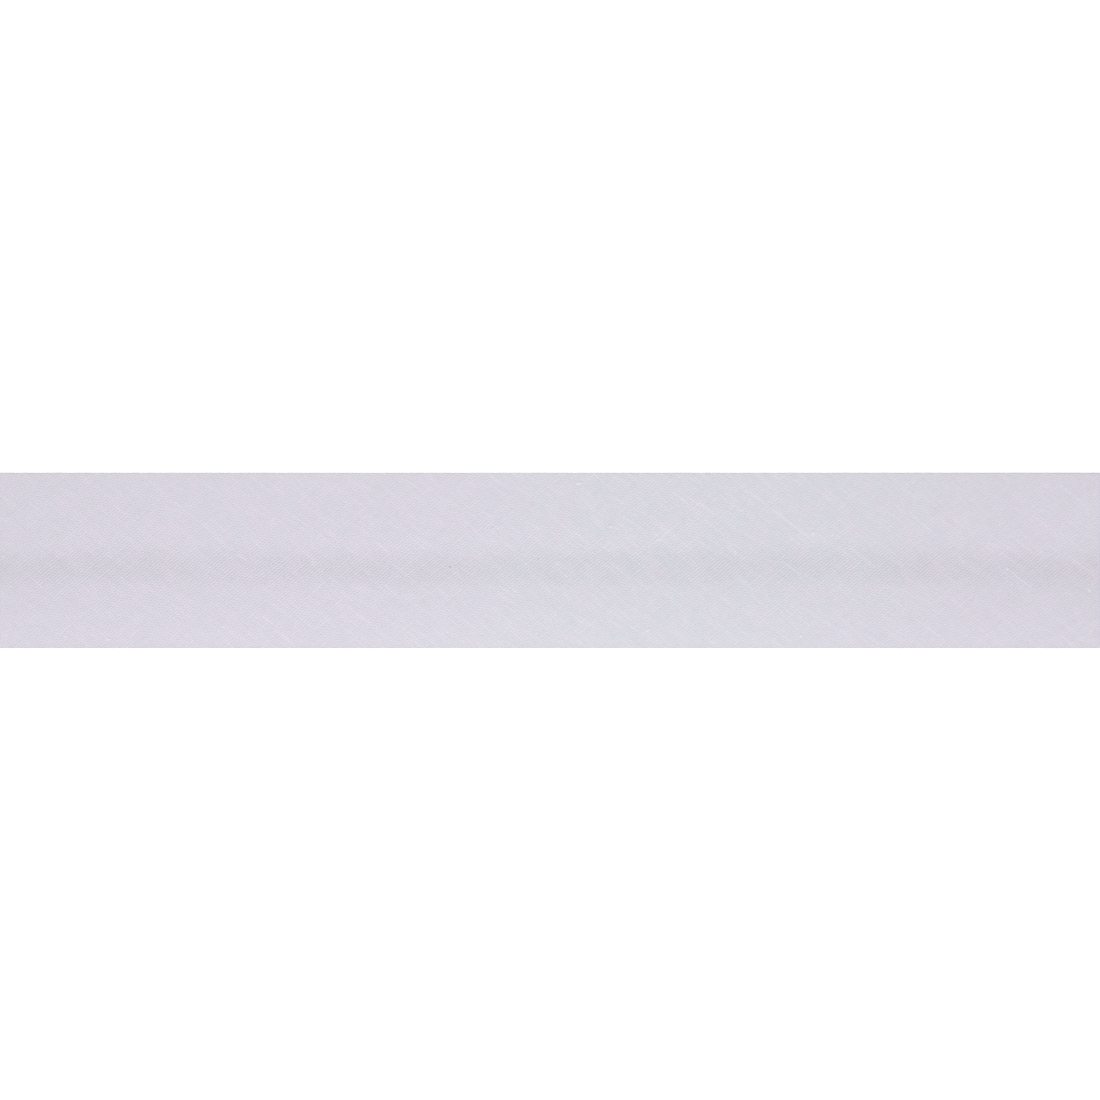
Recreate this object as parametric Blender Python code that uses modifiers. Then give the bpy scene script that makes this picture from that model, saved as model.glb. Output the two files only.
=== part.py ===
# Length of single-fold bias tape, lying flat with its smooth face up
#
# A maker cuts one strip of cotton poplin on the bias and presses both of its long edges under.
# So the tape is one piece of cloth and one solid: a face, two folds and two flaps under it,
# with a narrow gap between the raw edges of the flaps. X runs along the tape, Y across it, and
# +Z points up from the surface that the flaps lie flat on. The origin is on that surface, at
# the middle of the tape. The cloth is thicker here than real poplin, and its layers stand a
# little apart, so that both folds stay open.

import math
from typing import NamedTuple

import bmesh
import bpy

NAME = "bias_tape"
MM = 0.001

# The tape as it lies
LENGTH = 150 * MM
WIDTH = 20 * MM
CLOTH = 1.0 * MM
BETWEEN_LAYERS = 0.3 * MM

# The gap between the raw edges, and the shallow trough that the face makes over it
GAP_WIDTH = 3.0 * MM
TROUGH_WIDTH = 5.2 * MM

# The fold at +Y opens a little towards the +X end of the tape
LOOSE_FOLD_STARTS = 20 * MM
LOOSE_FOLD_RISE = 0.16 * MM

# How finely the cloth is divided, along the tape and across each of its stretches
STEPS_ALONG = 30
STEPS_FLAP = 3
STEPS_FOLD = 8
STEPS_FACE = 14
TROUGH_CLOSENESS = 0.45  # the step over the trough, as a share of an even step
SHARP_ANGLE = math.radians(50)  # only the cut edges of the cloth are sharper than this

# Poplin in a pale lavender grey, as linear colour
POPLIN_COLOUR = (0.687, 0.665, 0.733, 1.0)
POPLIN_ROUGHNESS = 0.85


class Reading(NamedTuple):
    """Where the middle of the gap lies across the tape, and how deep the face sinks over it."""

    along: float
    middle: float
    depth: float


# The raw edges aren't quite straight, so the gap wanders on its way along the tape
GAP_READINGS = (
    Reading(-75.0 * MM, -0.85 * MM, 0.18 * MM),
    Reading(-62.5 * MM, -0.95 * MM, 0.19 * MM),
    Reading(-50.0 * MM, -0.52 * MM, 0.24 * MM),
    Reading(-37.5 * MM, -0.68 * MM, 0.23 * MM),
    Reading(-25.0 * MM, -0.75 * MM, 0.20 * MM),
    Reading(-12.5 * MM, -0.86 * MM, 0.21 * MM),
    Reading(0.0 * MM, -0.77 * MM, 0.18 * MM),
    Reading(12.5 * MM, -0.71 * MM, 0.20 * MM),
    Reading(25.0 * MM, -0.75 * MM, 0.19 * MM),
    Reading(37.5 * MM, -0.60 * MM, 0.18 * MM),
    Reading(50.0 * MM, -0.75 * MM, 0.22 * MM),
    Reading(62.5 * MM, -1.03 * MM, 0.24 * MM),
    Reading(75.0 * MM, -0.90 * MM, 0.20 * MM),
)

# Heights of the cloth's middle surface, and the radius of a fold there
FLAP_HEIGHT = CLOTH / 2
FACE_HEIGHT = FLAP_HEIGHT + CLOTH + BETWEEN_LAYERS
FOLD_RADIUS = (FACE_HEIGHT - FLAP_HEIGHT) / 2


def ease(share):
    """A smooth step from 0 to 1 as share goes from 0 to 1."""
    share = min(max(share, 0.0), 1.0)
    return share * share * (3 - 2 * share)


def gap_at(along):
    """The middle of the gap and the depth of the trough at one place along the tape."""
    for before, after in zip(GAP_READINGS, GAP_READINGS[1:]):
        if along <= after.along:
            break
    share = ease((along - before.along) / (after.along - before.along))
    middle = before.middle + share * (after.middle - before.middle)
    depth = before.depth + share * (after.depth - before.depth)
    return middle, depth


def fold_radius(side, along):
    """The radius of the fold on one side, which is a little larger where it is loose."""
    if side < 0:
        return FOLD_RADIUS
    loose = ease((along - LOOSE_FOLD_STARTS) / (LENGTH / 2 - LOOSE_FOLD_STARTS))
    return FOLD_RADIUS + loose * LOOSE_FOLD_RISE / 2


def fold_centre(side, along):
    """How far from the tape's middle line the centre of the fold lies, signed by its side."""
    return side * (WIDTH / 2 - CLOTH / 2 - fold_radius(side, along))


def flap_points(side, along):
    """The flat flap, from its raw edge to the start of its fold."""
    raw_edge = gap_at(along)[0] + side * GAP_WIDTH / 2
    fold = fold_centre(side, along)
    return [
        (raw_edge + (fold - raw_edge) * step / STEPS_FLAP, FLAP_HEIGHT)
        for step in range(STEPS_FLAP)
    ]


def fold_points(side, along):
    """The half circle of the fold, from the flap up to the face."""
    radius = fold_radius(side, along)
    centre = fold_centre(side, along)
    points = []
    for step in range(STEPS_FOLD + 1):
        turn = math.pi * step / STEPS_FOLD
        across = centre + side * radius * math.sin(turn)
        points.append((across, FLAP_HEIGHT + radius * (1 - math.cos(turn))))
    return points


def face_height(across, along):
    """The face is level but for the trough over the gap and the rise to the loose fold."""
    middle, depth = gap_at(along)
    from_middle = min(abs(across - middle) / (TROUGH_WIDTH / 2), 1.0)
    trough = depth * (1 + math.cos(math.pi * from_middle)) / 2
    rise = 2 * (fold_radius(1, along) - FOLD_RADIUS)
    return FACE_HEIGHT - trough + rise * ease(across / fold_centre(1, along))


def face_points(along):
    """The face between the two folds, in closer steps over the trough."""
    low = fold_centre(-1, along)
    high = fold_centre(1, along)
    middle = gap_at(along)[0]
    points = []
    for step in range(1, STEPS_FACE):
        share = 2 * step / STEPS_FACE - 1
        reach = high - middle if share > 0 else middle - low
        across = middle + reach * share * (TROUGH_CLOSENESS + (1 - TROUGH_CLOSENESS) * share**2)
        points.append((across, face_height(across, along)))
    return points


def section(along):
    """The cloth's middle surface across the tape, from one raw edge round to the other."""
    lower = flap_points(-1, along) + fold_points(-1, along)
    upper = flap_points(1, along) + fold_points(1, along)
    return lower + face_points(along) + upper[::-1]


def poplin():
    material = bpy.data.materials.new("cotton_poplin")
    material.use_nodes = True
    shader = material.node_tree.nodes["Principled BSDF"]
    shader.inputs["Base Color"].default_value = POPLIN_COLOUR
    shader.inputs["Roughness"].default_value = POPLIN_ROUGHNESS
    shader.inputs["Metallic"].default_value = 0.0
    return material


def fold_strip(mesh):
    """Lays a flat grid of cloth into the folded section, one column of it at a time."""
    steps_across = len(section(0.0)) - 1
    strip = bmesh.new()
    bmesh.ops.create_grid(strip, x_segments=STEPS_ALONG, y_segments=steps_across, size=0.5)
    for vert in strip.verts:
        along = vert.co.x * LENGTH
        row = round((vert.co.y + 0.5) * steps_across)
        across, height = section(along)[row]
        vert.co = (along, across, height)
    strip.to_mesh(mesh)
    strip.free()
    mesh.shade_smooth()
    mesh.set_sharp_from_angle(angle=SHARP_ANGLE)


def make_tape(collection):
    mesh = bpy.data.meshes.new(NAME)
    fold_strip(mesh)
    mesh.materials.append(poplin())
    tape = bpy.data.objects.new(NAME, mesh)
    collection.objects.link(tape)

    thickness = tape.modifiers.new("Cloth", "SOLIDIFY")
    thickness.thickness = CLOTH
    thickness.offset = 0.0
    thickness.use_even_offset = True
    return tape


def main():
    for old in list(bpy.data.objects):
        bpy.data.objects.remove(old, do_unlink=True)
    collection = bpy.data.collections.new("length_of_bias_tape")
    bpy.context.scene.collection.children.link(collection)
    make_tape(collection)


main()
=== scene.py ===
# %% [markdown]
# # A length of single-fold bias tape
#
# Bias tape is a strip of thin cotton poplin that is cut at a slant to its yarns, so that it
# stretches round curves. A maker presses both long edges under, and sews the tape over a raw
# edge. Here 150 mm of it lie flat with the smooth face up.
#
# Everything in this lesson is made the way the tape is. The cloth, its thick yarns, its neps
# and the frayed ends of its yarns are first laid out flat, as on the cutting table. Then one
# Geometry Nodes tree folds all of them under along the same two lines.

# %% The frame that the looks are built on
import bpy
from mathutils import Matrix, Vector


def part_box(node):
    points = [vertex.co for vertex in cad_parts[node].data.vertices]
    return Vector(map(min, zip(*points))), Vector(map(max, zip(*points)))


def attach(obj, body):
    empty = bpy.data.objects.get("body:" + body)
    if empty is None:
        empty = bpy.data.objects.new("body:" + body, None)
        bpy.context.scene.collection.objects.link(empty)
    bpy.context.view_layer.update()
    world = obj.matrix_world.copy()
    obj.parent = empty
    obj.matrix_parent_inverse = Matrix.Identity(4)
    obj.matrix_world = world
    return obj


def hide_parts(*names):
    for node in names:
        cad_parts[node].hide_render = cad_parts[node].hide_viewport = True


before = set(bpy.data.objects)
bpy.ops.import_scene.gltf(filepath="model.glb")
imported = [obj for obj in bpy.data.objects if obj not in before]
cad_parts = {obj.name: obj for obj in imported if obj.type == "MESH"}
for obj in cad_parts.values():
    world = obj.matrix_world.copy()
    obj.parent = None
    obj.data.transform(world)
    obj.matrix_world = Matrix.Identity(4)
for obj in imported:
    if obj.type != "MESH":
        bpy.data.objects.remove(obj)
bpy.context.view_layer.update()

import math
import random
from typing import NamedTuple

import bmesh
import bpy
from mathutils import Vector

MM = 0.001
tape_low, tape_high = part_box("bias_tape")
LENGTH = tape_high.x - tape_low.x
WIDTH = 20 * MM
print(f"The tape's solid is {LENGTH / MM:.1f} mm long and {(tape_high.y - tape_low.y) / MM:.1f} wide")

# %% [markdown]
# ## Small helpers
#
# A colour is chosen as a screen sees it, as an sRGB hex value, and a shader works in linear
# light, so one function turns the first into the second. Another adds a node to any tree, with
# its settings, its values and its links, which keeps the trees below short enough to read. The
# last two set the values on a node's own sockets and put a new object in the scene.

# %% Colours, nodes and objects
def linear(hex_colour):
    """An sRGB hex colour as linear red, green, blue and alpha."""
    channels = [int(hex_colour[i : i + 2], 16) / 255 for i in (1, 3, 5)]
    return [c / 12.92 if c <= 0.04045 else ((c + 0.055) / 1.055) ** 2.4 for c in channels] + [1.0]


def add(tree, kind, inputs=None, **settings):
    """Adds a node and returns it. Inputs go by name or by place among those in use, and take a
    plain value, a socket, or a node, which stands for its first output in use."""
    node = tree.nodes.new(kind)
    for setting, value in settings.items():
        setattr(node, setting, value)
    live = [socket for socket in node.inputs if socket.enabled]
    for key, value in (inputs or {}).items():
        socket = live[key] if isinstance(key, int) else next(s for s in live if s.name == key)
        if isinstance(value, bpy.types.Node):
            value = next(output for output in value.outputs if output.enabled)
        if isinstance(value, bpy.types.NodeSocket):
            tree.links.new(value, socket)
        else:
            socket.default_value = value
    return node


def set_values(node, values):
    """Sets a node's own sockets, by name."""
    for name, value in values.items():
        node.inputs[name].default_value = value


def new_object(name, data):
    """Makes an object of this data and puts it in the scene."""
    thing = bpy.data.objects.new(name, data)
    bpy.context.scene.collection.objects.link(thing)
    return thing


MATH = "ShaderNodeMath"
VECTOR_MATH = "ShaderNodeVectorMath"
MAP_RANGE = "ShaderNodeMapRange"
NOISE = "ShaderNodeTexNoise"
print("A white sheet of paper is", [round(c, 2) for c in linear("#F2F2F2")[:3]], "in linear light")

# %% [markdown]
# ## Camera, table and light
#
# The tape is seen from straight above, with a long lens, so that its two edges stay parallel.
# The picture is 125 mm wide and cuts the tape off at both sides. It lies a little below the
# middle of the picture. A small softbox hangs close over the tape, so that both ends are a shade
# darker than the middle, and a broad one stands before it and brightens its near side. The white
# table glows a little, and so loses its own shadows.

# %% The picture's own measures
PHOTO_SIDE = 1100  # the picture is square, and this is its side in pixels
PIXELS_PER_MM = 8.8  # the finished tape is 176 pixels and 20 mm wide
TAPE_MIDDLE_PIXEL = 560.8  # the row of pixels on the tape's middle line


def from_photo(column, row):
    """A place on the tape's face, in metres, from its pixel in the picture."""
    across = (TAPE_MIDDLE_PIXEL - row) / PIXELS_PER_MM
    return Vector(((column - PHOTO_SIDE / 2) / PIXELS_PER_MM * MM, across * MM))


picture_middle = from_photo(PHOTO_SIDE / 2, PHOTO_SIDE / 2)
print(f"The picture is {PHOTO_SIDE / PIXELS_PER_MM:.0f} mm wide, centred at y {picture_middle.y / MM:.2f} mm")

# %% Camera
LENS_MM = 110
SENSOR_MM = 36
FACE_HEIGHT = 0.66 * MM  # the face of the folded tape, above the table

camera_data = bpy.data.cameras.new("camera")
camera_data.lens = LENS_MM
camera_data.sensor_width = SENSOR_MM
camera_data.clip_start = 0.01
camera = new_object("camera", camera_data)
picture_width = PHOTO_SIDE / PIXELS_PER_MM * MM
camera.location = (picture_middle.x, picture_middle.y, FACE_HEIGHT + picture_width * LENS_MM / SENSOR_MM)
bpy.context.scene.camera = camera
bpy.context.scene.view_settings.view_transform = "Standard"
print(f"The camera looks down from {camera.location.z:.3f} m")

# %% Table
TABLE_SIDE = 4.0

table_paper = bpy.data.materials.new("white_table")
table_paper.use_nodes = True
set_values(table_paper.node_tree.nodes["Principled BSDF"], {
    "Base Color": linear("#F6F6F6"),
    "Roughness": 0.7,
    "Emission Color": linear("#FFFFFF"),
    "Emission Strength": 0.45,
})

table_mesh = bpy.data.meshes.new("table")
plan = bmesh.new()
bmesh.ops.create_grid(plan, x_segments=1, y_segments=1, size=TABLE_SIDE / 2)
plan.to_mesh(table_mesh)
plan.free()
table_mesh.materials.append(table_paper)
table = new_object("table", table_mesh)
print(f"The table is {TABLE_SIDE:.0f} m square and isn't part of the tape")

# %% Light
def softbox(name, side, watts, place):
    """A square, soft light that looks at the middle of the tape."""
    light = bpy.data.lights.new(name, "AREA")
    light.size = side
    light.energy = watts
    lamp = new_object(name, light)
    lamp.location = place
    lamp.rotation_euler = (-Vector(place)).to_track_quat("-Z", "Y").to_euler()
    lamp.visible_camera = False


SKY_STRENGTH = 0.3

softbox("overhead_softbox", side=0.16, watts=0.28, place=(-0.007, -0.022, 0.23))
softbox("front_softbox", side=0.6, watts=5.5, place=(0, -0.7, 0.75))

sky = bpy.data.worlds.new("studio")
bpy.context.scene.world = sky
sky.use_nodes = True
set_values(sky.node_tree.nodes["Background"], {"Color": linear("#FFFFFF"), "Strength": SKY_STRENGTH})
print(f"Two softboxes and an even sky of strength {SKY_STRENGTH}")

# %% [markdown]
# ## The cut of the cloth
#
# Before it is folded the tape is a flat strip about 38 mm wide. Its long raw edges aren't quite
# straight, so the gap that they leave under the finished tape wanders. Where the face crosses
# that gap it is one layer of cloth and not two. It sinks a little there, and its colour is painted
# darker: painted shade, for the light that goes through the single layer and isn't sent back by
# a second one.
#
# The readings below follow the dark band along the picture, a row for every 12.5 mm.

# %% The readings along the tape
class Reading(NamedTuple):
    """The middle of the gap, and how deep the face sinks over it, both in millimetres."""

    along: float
    middle: float
    depth: float


GAP_READINGS = (
    Reading(-75.0, -0.85, 0.18),
    Reading(-62.5, -0.95, 0.19),
    Reading(-50.0, -0.52, 0.24),
    Reading(-37.5, -0.68, 0.23),
    Reading(-25.0, -0.75, 0.20),
    Reading(-12.5, -0.86, 0.21),
    Reading(0.0, -0.77, 0.18),
    Reading(12.5, -0.71, 0.20),
    Reading(25.0, -0.75, 0.19),
    Reading(37.5, -0.60, 0.18),
    Reading(50.0, -0.75, 0.22),
    Reading(62.5, -1.03, 0.24),
    Reading(75.0, -0.90, 0.20),
)
GAP_WIDTH = 3.0 * MM


def gap_middle(along):
    """The middle of the gap at one place along the tape, eased from reading to reading."""
    for before, after in zip(GAP_READINGS, GAP_READINGS[1:]):
        if along <= after.along * MM:
            break
    share = min(max((along / MM - before.along) / (after.along - before.along), 0), 1)
    share = share * share * (3 - 2 * share)
    return (before.middle + share * (after.middle - before.middle)) * MM


print(f"{len(GAP_READINGS)} readings, and the gap's middle is at {gap_middle(0) / MM:.2f} mm in the middle")

# %% The sizes of the real cloth
CLOTH = 0.24 * MM  # poplin, as thick as it usually is
FOLD_RADIUS = (FACE_HEIGHT - CLOTH) / 2  # of the middle of the cloth, which stands up a little
CREASE = 0.15  # an iron presses each fold to this share of a round one's reach
FOLD_LINE = WIDTH / 2 - CREASE * (FOLD_RADIUS + CLOTH / 2)  # from the middle line to where a fold begins
ROUND_THE_FOLD = math.pi * FOLD_RADIUS


def raw_edge(side, along):
    """How far from its middle line the flat strip is cut, on one side, at one place along it."""
    flap = FOLD_LINE - side * gap_middle(along) - GAP_WIDTH / 2
    return FOLD_LINE + ROUND_THE_FOLD + flap


CUT_WIDTH = sum(raw_edge(side, 0) for side in (-1, 1))
print(f"The strip is cut {CUT_WIDTH / MM:.1f} mm wide and {LENGTH / MM:.0f} mm long")

# %% [markdown]
# ## The fold, as a Geometry Nodes tree
#
# A fold is a rule and not a shape. Up to the fold line the cloth lies level. Past it, the way
# along the cloth becomes an angle round a small half circle, and after half a turn the cloth
# runs back underneath. Geometry Nodes can say this once and use it on every piece.
#
# A point of the flat work has a place along the tape (x), a place across it (y) and a height
# over the middle of the cloth (z). Anything that lies on the cloth, such as a thick yarn, is
# carried round the fold on the outside, because the radius it turns on is larger by its height.
#
# The same tree sinks the face over the gap, lets it down slightly towards the viewer's fold,
# which is pressed harder, and opens the far fold a little towards its right end.

# %% Starting a tree and running it
def geometry_tree(name, inputs):
    """Starts a Geometry Nodes tree with these named inputs, and returns it and their sockets."""
    tree = bpy.data.node_groups.new(name, "GeometryNodeTree")
    tree.interface.new_socket("Geometry", in_out="OUTPUT", socket_type="NodeSocketGeometry")
    tree.interface.new_socket("Geometry", in_out="INPUT", socket_type="NodeSocketGeometry")
    for label, kind in inputs.items():
        tree.interface.new_socket(label, in_out="INPUT", socket_type="NodeSocket" + kind)
    return tree, tree.nodes.new("NodeGroupInput").outputs


def run_tree(piece, tree, values):
    """Puts the tree on a piece as a modifier, with its inputs set by their identifiers."""
    modifier = piece.modifiers.new(tree.name, "NODES")
    modifier.node_group = tree
    for item in tree.interface.items_tree:
        if item.in_out == "INPUT" and item.name in values:
            modifier[item.identifier] = values[item.name]


def to_plain_mesh(piece):
    """Turns what the piece's modifiers make into its own mesh, and takes them off."""
    graph = bpy.context.evaluated_depsgraph_get()
    finished = piece.evaluated_get(graph)
    mesh = bpy.data.meshes.new_from_object(finished, preserve_all_data_layers=True, depsgraph=graph)
    flat_mesh = piece.data
    piece.modifiers.clear()
    piece.data = mesh
    bpy.data.meshes.remove(flat_mesh)
    mesh.name = piece.name
    return mesh


print("Trees are built in the script, and a piece keeps no modifier once its mesh is plain")

# %% The fold tree
fold_tree, given = geometry_tree("fold_under", {
    "Half Length": "Float",
    "Half Width": "Float",
    "Cloth": "Float",
    "Fold Radius": "Float",
    "Crease": "Float",
    "Loose Fold Rise": "Float",
    "Loose Fold Start": "Float",
    "Hard Fold Drop": "Float",
    "Trough Width": "Float",
    "Settling": "Float",
    "Band Inner": "Float",
    "Band Outer": "Float",
    "Unevenness": "Float",
    "Lowest": "Float",
})
flat_place = add(fold_tree, "ShaderNodeSeparateXYZ", {0: add(fold_tree, "GeometryNodeInputPosition")})
along, across, height = flat_place.outputs
side = add(fold_tree, MATH, {0: across}, operation="SIGN")
from_middle = add(fold_tree, MATH, {0: across}, operation="ABSOLUTE")
print("The tree starts from a point's flat place and from which side of the middle line it is on")

# %% How tightly each fold is turned
DROP_START = -0.3  # the face begins to drop at this share of the way to the viewer's fold
DROP_POWER = 3.0  # and drops mostly near the fold

level_part = add(fold_tree, MATH, {0: given["Half Width"], 1: given["Fold Radius"]}, operation="SUBTRACT")
to_fold = add(fold_tree, MATH, {0: across, 1: level_part}, operation="DIVIDE")
far_share = add(fold_tree, MAP_RANGE, {0: to_fold, 1: 0.0, 2: 1.0}, interpolation_type="SMOOTHSTEP")
near_way = add(fold_tree, MAP_RANGE, {0: to_fold, 1: DROP_START, 2: -1.0})
near_share = add(fold_tree, MATH, {0: near_way, 1: DROP_POWER}, operation="POWER")
loose_share = add(fold_tree, MAP_RANGE, {
    0: along,
    1: given["Loose Fold Start"],
    2: given["Half Length"],
}, interpolation_type="SMOOTHSTEP")
opening = add(fold_tree, MATH, {0: far_share, 1: loose_share}, operation="MULTIPLY")
rise = add(fold_tree, MATH, {0: opening, 1: given["Loose Fold Rise"]}, operation="MULTIPLY")
drop = add(fold_tree, MATH, {0: near_share, 1: given["Hard Fold Drop"]}, operation="MULTIPLY")
change = add(fold_tree, MATH, {0: rise, 1: drop}, operation="SUBTRACT")
radius = add(fold_tree, MATH, {0: change, 1: 0.5, 2: given["Fold Radius"]}, operation="MULTIPLY_ADD")
half_cloth = add(fold_tree, MATH, {0: given["Cloth"], 1: 0.5}, operation="MULTIPLY")
fold_middle = add(fold_tree, MATH, {0: radius, 1: half_cloth}, operation="ADD")
fold_reach = add(fold_tree, MATH, {0: fold_middle, 1: given["Crease"]}, operation="MULTIPLY")
fold_line = add(fold_tree, MATH, {0: given["Half Width"], 1: fold_reach}, operation="SUBTRACT")
print("A fold's radius follows the rise of the loose fold and the drop of the hard one")

# %% From flat to folded
past_line = add(fold_tree, MATH, {0: from_middle, 1: fold_line}, operation="SUBTRACT")
bent = add(fold_tree, MATH, {0: past_line, 1: 0.0}, operation="MAXIMUM")
free_turn = add(fold_tree, MATH, {0: bent, 1: radius}, operation="DIVIDE")
turn = add(fold_tree, MATH, {0: free_turn, 1: math.pi}, operation="MINIMUM")
round_way = add(fold_tree, MATH, {0: turn, 1: radius}, operation="MULTIPLY")
back_under = add(fold_tree, MATH, {0: bent, 1: round_way}, operation="SUBTRACT")
outer_radius = add(fold_tree, MATH, {0: radius, 1: height}, operation="ADD")
sine = add(fold_tree, MATH, {0: turn}, operation="SINE")
cosine = add(fold_tree, MATH, {0: turn}, operation="COSINE")
level_reach = add(fold_tree, MATH, {0: from_middle, 1: fold_line}, operation="MINIMUM")
pressed_sine = add(fold_tree, MATH, {0: sine, 1: given["Crease"]}, operation="MULTIPLY")
reach = add(fold_tree, MATH, {0: outer_radius, 1: pressed_sine, 2: level_reach}, operation="MULTIPLY_ADD")
folded_reach = add(fold_tree, MATH, {0: reach, 1: back_under}, operation="SUBTRACT")
folded_across = add(fold_tree, MATH, {0: folded_reach, 1: side}, operation="MULTIPLY")
folded_height = add(fold_tree, MATH, {0: outer_radius, 1: cosine, 2: fold_middle}, operation="MULTIPLY_ADD")
print("Past the fold line, the way along the cloth becomes an angle")

# %% The trough over the gap
MIDDLE_RANGE = (-1.5 * MM, 0.0)  # the readings of the gap's middle lie between these
DEPTH_RANGE = (0.0, 0.3 * MM)  # and those of the trough's depth between these


def along_curve(tree, share, readings, value_range):
    """A smooth curve through one column of the readings, from the share of the way along."""
    low, high = value_range
    node = add(tree, "ShaderNodeFloatCurve", {1: share})
    line = node.mapping.curves[0]
    spots = [((r.along * MM / LENGTH) + 0.5, (value * MM - low) / (high - low)) for r, value in readings]
    line.points[0].location = spots[0]
    line.points[-1].location = spots[-1]
    for spot in spots[1:-1]:
        line.points.new(*spot)
    node.mapping.update()
    return add(tree, MAP_RANGE, {0: node, 1: 0.0, 2: 1.0, 3: low, 4: high})


way_along = add(fold_tree, MATH, {0: along, 1: 1 / LENGTH, 2: 0.5}, operation="MULTIPLY_ADD")
middle = along_curve(fold_tree, way_along, [(r, r.middle) for r in GAP_READINGS], MIDDLE_RANGE)
depth = along_curve(fold_tree, way_along, [(r, r.depth) for r in GAP_READINGS], DEPTH_RANGE)
off_gap = add(fold_tree, MATH, {0: across, 1: middle}, operation="SUBTRACT")
off_gap_size = add(fold_tree, MATH, {0: off_gap}, operation="ABSOLUTE")
half_trough = add(fold_tree, MATH, {0: given["Trough Width"], 1: 0.5}, operation="MULTIPLY")
sink = add(fold_tree, MAP_RANGE, {
    0: off_gap_size,
    1: half_trough,
    2: 0.0,
    3: 0.0,
    4: depth,
}, interpolation_type="SMOOTHSTEP")
settled = add(fold_tree, MATH, {0: sink, 1: given["Settling"]}, operation="MULTIPLY")
sunk_height = add(fold_tree, MATH, {0: folded_height, 1: settled}, operation="SUBTRACT")
# The band over the gap where the material paints shade into the face's colour
over_gap = add(fold_tree, MAP_RANGE, {
    0: off_gap_size,
    1: given["Band Outer"],
    2: given["Band Inner"],
}, interpolation_type="SMOOTHSTEP")
print("The face sinks over the gap, which wanders as the readings say")

# %% Slight unevenness, and the tree's end
SWELLS_PER_METRE = 150  # a swell of the cloth is about 7 mm long
SWELL_FADE = 0.4 * MM  # the swells die out over this way round a fold

swell = add(fold_tree, NOISE, {
    "Vector": add(fold_tree, "GeometryNodeInputPosition"),
    "Scale": SWELLS_PER_METRE,
    "Detail": 2.0,
    "Roughness": 0.4,
}, noise_dimensions="2D")
swell_both_ways = add(fold_tree, MATH, {0: swell, 1: 0.5}, operation="SUBTRACT")
on_face = add(fold_tree, MAP_RANGE, {0: bent, 1: SWELL_FADE, 2: 0.0}, interpolation_type="SMOOTHSTEP")
swell_on_face = add(fold_tree, MATH, {0: swell_both_ways, 1: on_face}, operation="MULTIPLY")
swelled_height = add(fold_tree, MATH, {
    0: swell_on_face,
    1: given["Unevenness"],
    2: sunk_height,
}, operation="MULTIPLY_ADD")
final_height = add(fold_tree, MATH, {0: swelled_height, 1: given["Lowest"]}, operation="MAXIMUM")
folded_place = add(fold_tree, "ShaderNodeCombineXYZ", {0: along, 1: folded_across, 2: final_height})
# over_gap marks where painted shade darkens the face over the gap
with_band = add(fold_tree, "GeometryNodeStoreNamedAttribute", {
    "Geometry": given["Geometry"],
    "Name": "over_gap",
    "Value": over_gap,
}, data_type="FLOAT", domain="POINT")
folded = add(fold_tree, "GeometryNodeSetPosition", {"Geometry": with_band, "Position": folded_place})
add(fold_tree, "NodeGroupOutput", {0: folded})

FOLD_VALUES = {
    "Half Length": LENGTH / 2,
    "Half Width": WIDTH / 2,
    "Cloth": CLOTH,
    "Fold Radius": FOLD_RADIUS,
    "Crease": CREASE,
    "Loose Fold Rise": 0.4 * MM,
    "Loose Fold Start": 20 * MM,
    "Hard Fold Drop": 0.18 * MM,
    "Trough Width": 10 * MM,
    "Settling": 0.28,
    "Band Inner": 0.5 * MM,
    "Band Outer": 2.9 * MM,
    "Unevenness": 0.05 * MM,
    "Lowest": -0.02 * MM,
}
print(f"The fold tree has {len(fold_tree.nodes)} nodes")


def fold_under(piece):
    """Folds a flat piece with the tape and makes it a plain, smooth mesh."""
    run_tree(piece, fold_tree, FOLD_VALUES)
    to_plain_mesh(piece).shade_smooth()


# %% [markdown]
# ## The flat strip
#
# The strip starts as a grid whose rows run along the tape. They lie close together where the
# cloth will bend and further apart where it stays flat. Each corner also gets its flat place, in
# millimetres, as a UV map named "strip". The weave is drawn on that map, so that its yarns run
# unbroken over the face, round the folds and back underneath, as in real cloth.

# %% Rows across the strip
STEPS_ALONG = 240
STEPS_FLAP = 12
STEPS_FOLD = 26
STEPS_FACE = 64
STEPS_CREASE = 2
CREASE_STRIP = 0.04 * MM  # narrow rows beside each fold keep the face's shading flat up to it
LOOSEST_RADIUS = FOLD_RADIUS + FOLD_VALUES["Loose Fold Rise"] / 2
FOLD_END = FOLD_LINE + math.pi * LOOSEST_RADIUS  # the folds' close rows go on to here


def rows_across(place):
    """Where the rows of the grid lie across the flat strip, at one place along it."""
    stretches = (
        (-raw_edge(-1, place), -FOLD_END, STEPS_FLAP),
        (-FOLD_END, -FOLD_LINE, STEPS_FOLD),
        (-FOLD_LINE, CREASE_STRIP - FOLD_LINE, STEPS_CREASE),
        (CREASE_STRIP - FOLD_LINE, FOLD_LINE - CREASE_STRIP, STEPS_FACE),
        (FOLD_LINE - CREASE_STRIP, FOLD_LINE, STEPS_CREASE),
        (FOLD_LINE, FOLD_END, STEPS_FOLD),
        (FOLD_END, raw_edge(1, place), STEPS_FLAP),
    )
    rows = [start + (end - start) * i / steps for start, end, steps in stretches for i in range(steps)]
    return rows + [raw_edge(1, place)]


print(f"{len(rows_across(0))} rows across, {STEPS_ALONG + 1} along")

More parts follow.
